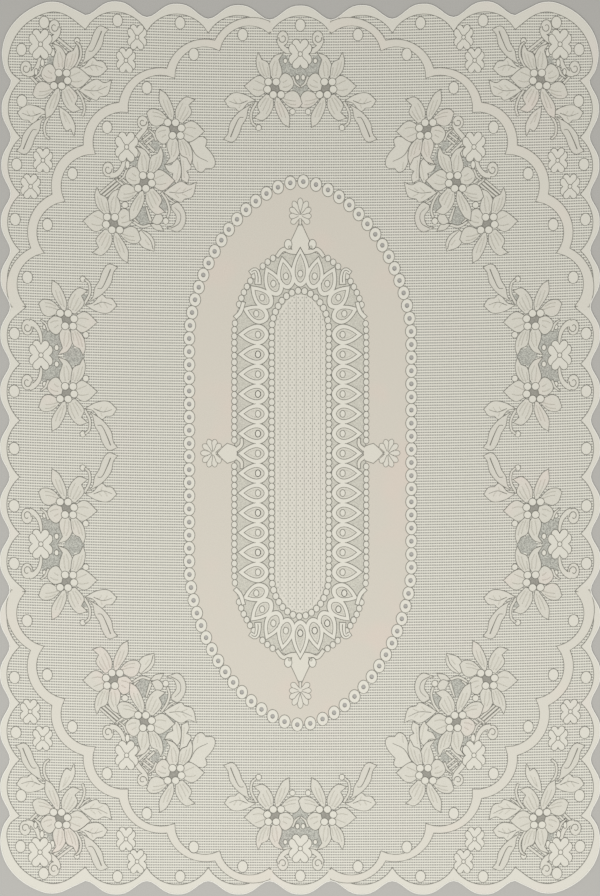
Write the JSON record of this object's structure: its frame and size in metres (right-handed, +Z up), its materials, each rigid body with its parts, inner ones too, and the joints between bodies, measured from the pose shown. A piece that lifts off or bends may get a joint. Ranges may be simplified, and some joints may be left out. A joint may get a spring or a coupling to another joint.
{
  "type": "net tablecloth",
  "caption": "Flat rectangular lace-net tablecloth with a scalloped border, scalloped bands across its corners, an oval medallion of eyelet rings, and flower sprays.",
  "frame": {"origin": "middle of the underside, on the surface that the cloth lies on", "axes": "+Z up out of the cloth's face, +Y along its length, away from the viewer, and +X across its width, to the viewer's right"},
  "size_m": [0.9222, 1.3688, 0.0028],
  "materials": {
    "net": "matt cream polyester lace net with denser knitted clothwork"
  },
  "bodies": {
    "root": {"tablecloth": "net"}
  },
  "joints": []
}
